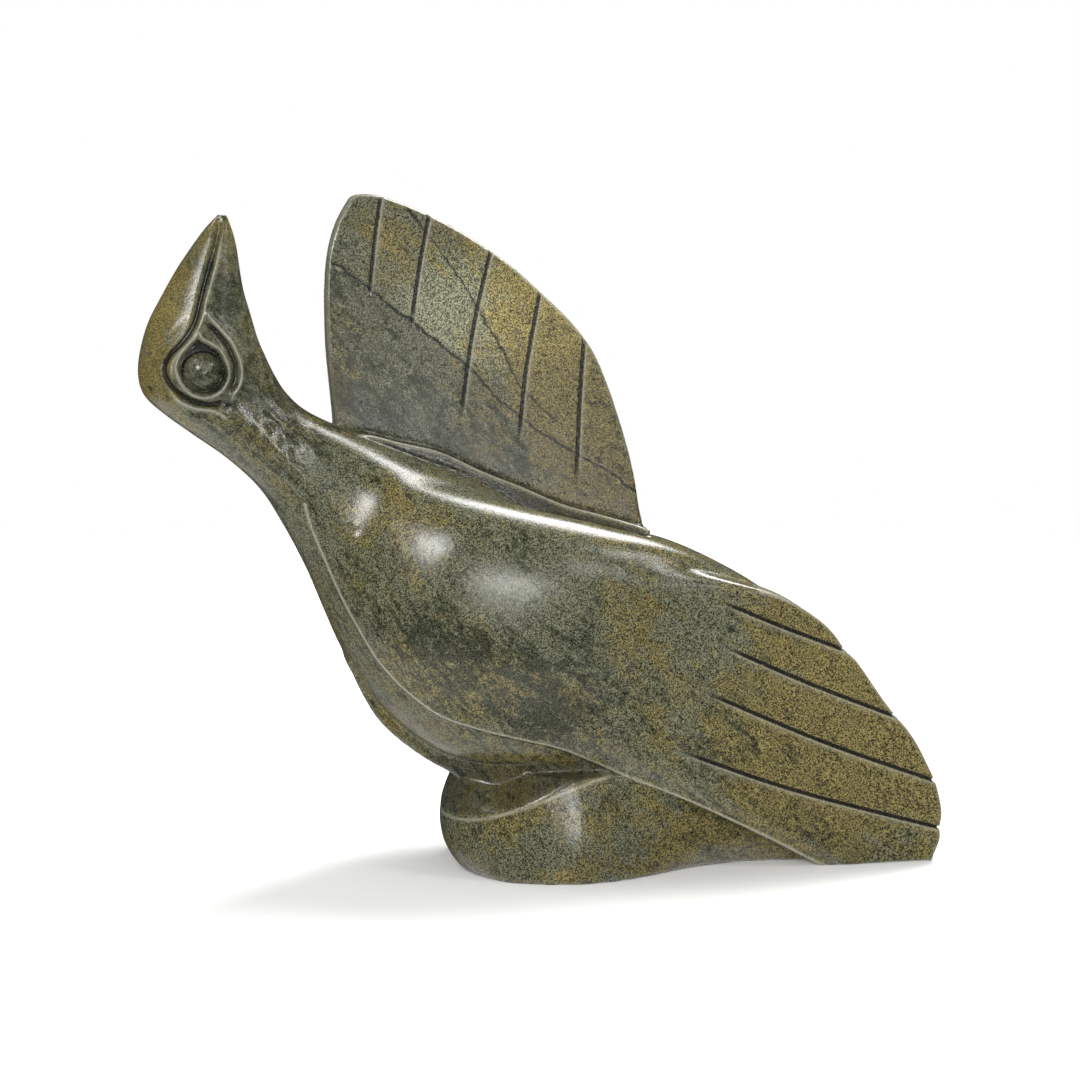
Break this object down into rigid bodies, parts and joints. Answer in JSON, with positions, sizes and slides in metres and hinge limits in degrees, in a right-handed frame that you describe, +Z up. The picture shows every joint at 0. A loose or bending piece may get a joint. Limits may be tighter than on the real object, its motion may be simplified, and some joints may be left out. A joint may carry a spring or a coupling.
{
  "type": "bird sculpture",
  "caption": "Polished green serpentine carving of a bird looking up, with a folded wing and a raised wing, on a rounded foot of the same stone.",
  "frame": {"origin": "centre of the bounding box in plan, on the flat underside of the foot", "axes": "+Z up, +X from the head to the tail along the longest extent, +Y from the folded wing to the raised wing across the shortest extent"},
  "size_m": [0.4344, 0.1334, 0.3662],
  "materials": {
    "stone": "polished"
  },
  "bodies": {
    "root": {"bird": "stone"}
  },
  "joints": []
}
